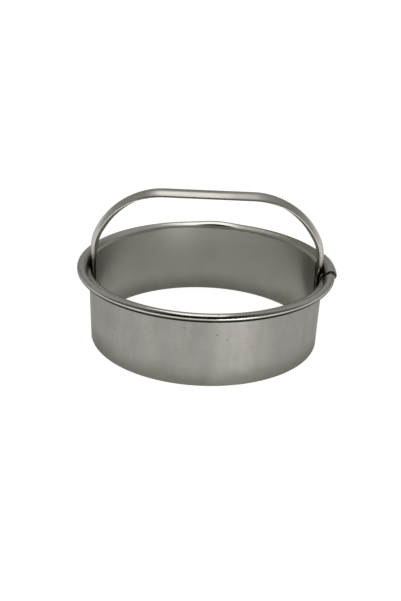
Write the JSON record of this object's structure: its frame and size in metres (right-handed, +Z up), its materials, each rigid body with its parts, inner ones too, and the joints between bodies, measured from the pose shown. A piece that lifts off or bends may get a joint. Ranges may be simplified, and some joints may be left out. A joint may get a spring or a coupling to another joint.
{
  "type": "doughnut cutter",
  "caption": "Round sheet steel dough cutter: a rolled band with a curled rim and a lapped seam, and a rigid, hollow-rolled strap handle spot-welded inside it.",
  "frame": {"origin": "centre of the cutting edge, on the surface that the cutter stands on", "axes": "+Z up from the cutting edge to the handle; the handle runs along X and the band's lap seam is at the +X foot"},
  "size_m": [0.0988, 0.0978, 0.0581],
  "materials": {
    "band_steel": "satin brushed stainless sheet",
    "strap_steel": "brushed and lightly polished stainless strip",
    "weld_steel": "dull fused metal with heat tint"
  },
  "bodies": {
    "root": {"cutter_band": "band_steel", "strap_handle": "strap_steel", "left_foot_weld_lower": "weld_steel", "left_foot_weld_upper": "weld_steel", "right_foot_weld_lower": "weld_steel", "right_foot_weld_upper": "weld_steel", "seam_weld_lower": "weld_steel", "seam_weld_middle": "weld_steel", "seam_weld_upper": "weld_steel"}
  },
  "joints": []
}
